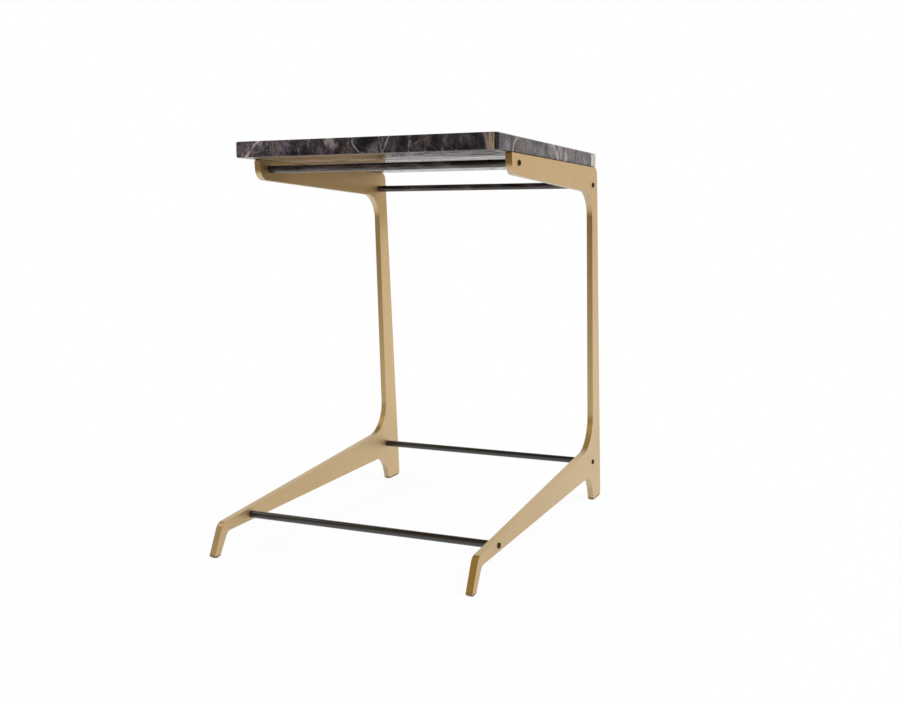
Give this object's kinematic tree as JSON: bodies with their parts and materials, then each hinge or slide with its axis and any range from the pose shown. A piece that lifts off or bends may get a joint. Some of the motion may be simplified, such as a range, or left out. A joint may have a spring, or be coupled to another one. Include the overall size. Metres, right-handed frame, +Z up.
{
  "type": "c-shaped side table",
  "caption": "C-shaped corner table for the end of a sofa: a dark veined stone slab on brass-coloured plate frames joined by black rods.",
  "frame": {"origin": "on the floor, under the middle of the table's bounding box", "axes": "+X to the right, seen from the open front; +Y to the back, where the uprights stand; +Z up, out of the stone top"},
  "size_m": [0.361, 0.514, 0.52],
  "materials": {
    "stone": "polished",
    "frame_brass": "satin",
    "rod_black": "satin",
    "screw_black": "satin",
    "adhesive": "matte",
    "glide": "matte"
  },
  "bodies": {
    "root": {"stone_top": "stone", "left_side_frame": "frame_brass", "right_side_frame": "frame_brass", "top_front_rod": "rod_black", "top_rear_rod": "rod_black", "bottom_front_rod": "rod_black", "bottom_rear_rod": "rod_black", "left_rod_screws": "screw_black", "right_rod_screws": "screw_black", "left_bonding_strip": "adhesive", "right_bonding_strip": "adhesive", "left_front_glide": "glide", "left_rear_glide": "glide", "right_front_glide": "glide", "right_rear_glide": "glide"}
  },
  "joints": []
}
